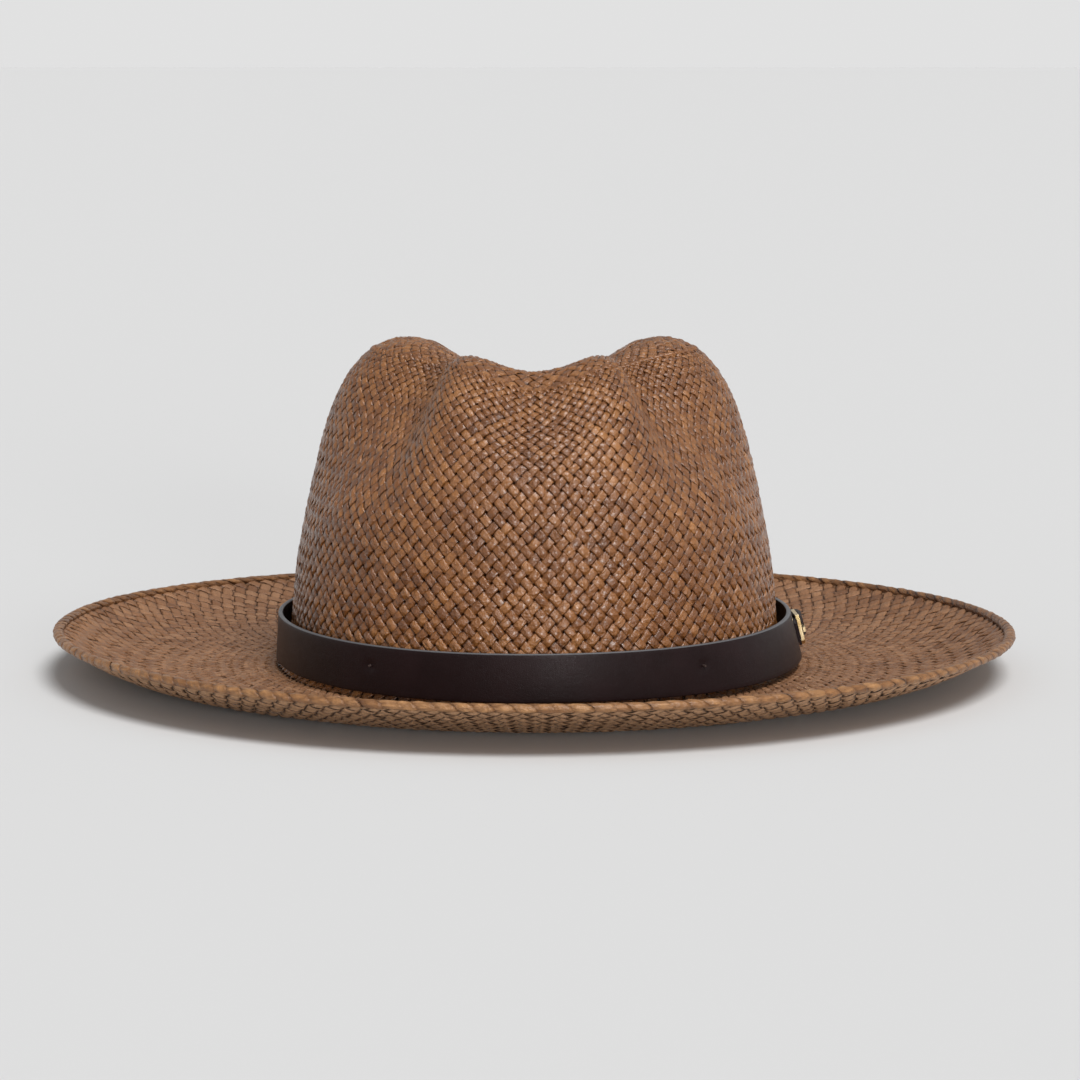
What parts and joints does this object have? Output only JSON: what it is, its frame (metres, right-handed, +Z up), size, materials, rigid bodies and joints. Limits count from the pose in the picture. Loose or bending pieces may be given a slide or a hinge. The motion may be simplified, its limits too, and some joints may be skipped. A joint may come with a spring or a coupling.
{
  "type": "panama hat",
  "caption": "Woven straw pinch-front hat with a wide upturned brim, leather hatband, small buckle, keeper loop and inner sweatband.",
  "frame": {"origin": "on the surface that the hat rests on, under the middle of the brim", "axes": "+Z up; the front of the hat faces -Y; the buckle is on the wearer's left, +X"},
  "size_m": [0.3414, 0.3794, 0.1173],
  "materials": {
    "straw": "dyed toquilla straw in a diagonal plain weave, lightly lacquered",
    "band_leather": "smooth dark brown leather, satin, raw cut edges",
    "sweatband_leather": "soft matt brown leather",
    "buckle_brass": "polished pale brass",
    "thread": "waxed dark brown thread",
    "ribbon": "dark brown grosgrain ribbon",
    "reed_plastic": "matt brown reed",
    "steel_wire": "bare spring wire"
  },
  "bodies": {
    "hat": {"straw_body": "straw", "brim_rim": "straw", "rim_wire": "steel_wire", "sweatband": "sweatband_leather", "sweatband_reed": "reed_plastic", "sweatband_stitches": "thread", "sweatband_bow": "ribbon", "hatband": "band_leather", "band_tacks": "thread", "buckle_strap": "band_leather", "buckle_chape": "band_leather", "buckle_frame": "buckle_brass", "buckle_bar": "buckle_brass", "strap_stitches": "thread"},
    "prong": {"buckle_prong": "buckle_brass"},
    "keeper": {"strap_keeper": "band_leather"}
  },
  "joints": [
    {"name": "prong_turn", "type": "hinge", "parent": "hat", "child": "prong", "pos_m": [0.09464, 0.01416, 0.01277], "axis": [-0.2463, -0.0397, 0.9684], "range_deg": [0, 22]},
    {"name": "keeper_slide", "type": "slide", "parent": "hat", "child": "keeper", "axis": [-0.3332, 0.9428, 0], "range_m": [-0.003, 0.003]}
  ]
}
